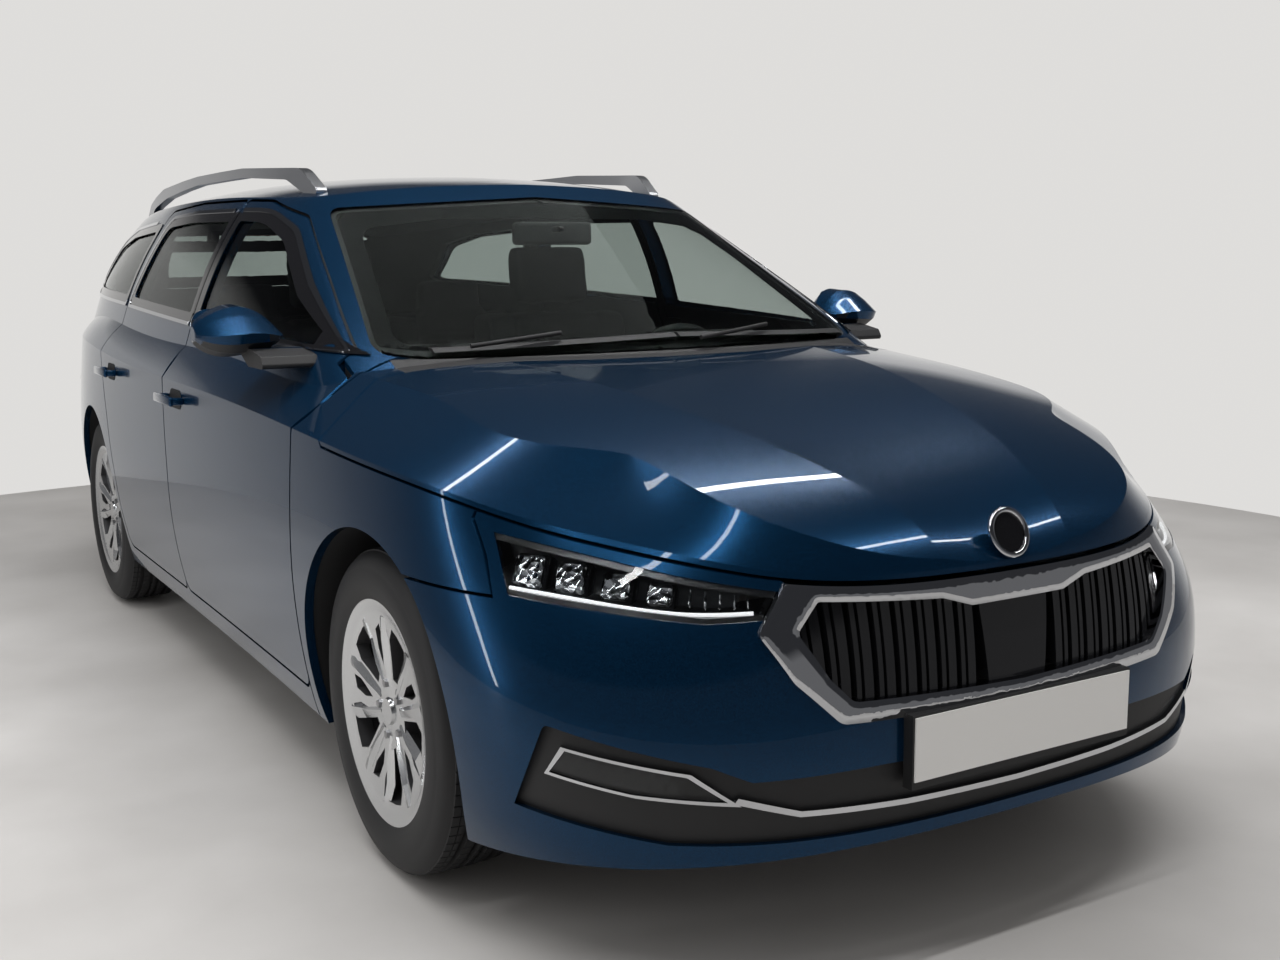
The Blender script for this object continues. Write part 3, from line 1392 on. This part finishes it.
# %% World and lamps
world = bpy.data.worlds.new("studio")
bpy.context.scene.world = world
world.use_nodes = True
sky = world.node_tree.nodes["Background"]
sky.inputs["Color"].default_value = (0.70, 0.69, 0.68, 1)
sky.inputs["Strength"].default_value = 0.55
seen = world.node_tree.nodes.new("ShaderNodeBackground")
seen.inputs["Strength"].default_value = 1.0
WALL_PALE = (0.735, 0.725, 0.71, 1)
WALL_SIDE = (0.17, 0.17, 0.175, 1)
CEILING = (0.035, 0.036, 0.04, 1)
BEHIND_CAR = (-0.857, 0.515, 0)


def world_node(kind, **links):
    node = world.node_tree.nodes.new(kind)
    for socket, source in links.items():
        world.node_tree.links.new(source, node.inputs[socket])
    return node


def world_ramp(source, *stops):
    ramp = world_node("ShaderNodeValToRGB", Fac=source)
    for element, (place, colour) in zip(ramp.color_ramp.elements, stops):
        element.position = place
        element.color = colour
    return ramp.outputs["Color"]


direction = world_node("ShaderNodeTexCoord").outputs["Generated"]
toward_wall = world_node("ShaderNodeVectorMath", Vector=direction)
toward_wall.operation = "DOT_PRODUCT"
toward_wall.inputs[1].default_value = BEHIND_CAR
wall = world_ramp(toward_wall.outputs["Value"], (0.55, WALL_SIDE), (0.86, WALL_PALE))
height = world_node("ShaderNodeSeparateXYZ", Vector=direction).outputs["Z"]
is_ceiling = world_ramp(height, (0.17, (0, 0, 0, 1)), (0.24, (1, 1, 1, 1)))
room = world_node("ShaderNodeMixRGB", Fac=is_ceiling, Color1=wall)
room.inputs["Color2"].default_value = CEILING
world.node_tree.links.new(room.outputs["Color"], seen.inputs["Color"])
rays = world.node_tree.nodes.new("ShaderNodeLightPath")
mixer = world.node_tree.nodes.new("ShaderNodeMixShader")
seen_by = rays.outputs["Is Camera Ray"]
for kind in ("Is Glossy Ray", "Is Transmission Ray"):
    either = world.node_tree.nodes.new("ShaderNodeMath")
    either.operation = "MAXIMUM"
    world.node_tree.links.new(seen_by, either.inputs[0])
    world.node_tree.links.new(rays.outputs[kind], either.inputs[1])
    seen_by = either.outputs[0]
world.node_tree.links.new(seen_by, mixer.inputs["Fac"])
world.node_tree.links.new(sky.outputs[0], mixer.inputs[1])
world.node_tree.links.new(seen.outputs[0], mixer.inputs[2])
world.node_tree.links.new(mixer.outputs[0], world.node_tree.nodes["World Output"].inputs["Surface"])


def tube(name, place, size_x, size_y, watts, aim=(0, 0, 0.6)):
    lamp = bpy.data.lights.new(name, "AREA")
    lamp.shape = "RECTANGLE"
    lamp.size = size_x
    lamp.size_y = size_y
    lamp.energy = watts
    obj = placed(name, lamp)
    obj.location = place
    obj.rotation_euler = (Vector(aim) - Vector(place)).to_track_quat("-Z", "Y").to_euler()
    return obj


tube("tube_front", (2.6, 0.0, 3.2), 5.0, 0.12, 60)
tube("tube_middle", (0.2, 0.0, 3.4), 5.0, 0.12, 60)
tube("tube_side", (0.5, -3.4, 2.6), 0.12, 6.0, 50)
tube("soft_top", (0.0, 0.0, 4.5), 5.0, 5.0, 120).visible_glossy = False
print("lamps:", len(bpy.data.lights))

# %% [markdown]
# ## The camera
# The camera was found by matching points of the real car, such as wheels, lamps and plate corners, with
# their places in the picture. It stands to the front right of the car at chest height.

# %% Camera
CAMERA_PLACE = Vector((4.0708, -1.8332, 1.2357))
CAMERA_YAW = 2.5997
CAMERA_PITCH = -0.16056
CAMERA_ROLL = -0.00758
FOCAL_PIXELS = 1432.6
PICTURE_WIDTH = 1280.0
ahead = Vector((math.cos(CAMERA_YAW) * math.cos(CAMERA_PITCH), math.sin(CAMERA_YAW) * math.cos(CAMERA_PITCH),
                math.sin(CAMERA_PITCH)))
right = ahead.cross(Vector((0, 0, 1))).normalized()
up = right.cross(ahead)
turned_right = right * math.cos(CAMERA_ROLL) + up * math.sin(CAMERA_ROLL)
turned_up = up * math.cos(CAMERA_ROLL) - right * math.sin(CAMERA_ROLL)
camera_data = bpy.data.cameras.new("camera")
camera_data.sensor_width = 36.0
camera_data.lens = FOCAL_PIXELS / PICTURE_WIDTH * camera_data.sensor_width
camera = placed("camera", camera_data)
camera_turn = Matrix((turned_right, turned_up, -ahead)).transposed()
camera.matrix_world = Matrix.Translation(CAMERA_PLACE) @ camera_turn.to_4x4()
bpy.context.scene.camera = camera
bpy.context.scene.view_settings.view_transform = "Standard"
print("lens:", round(camera_data.lens, 2), "mm")
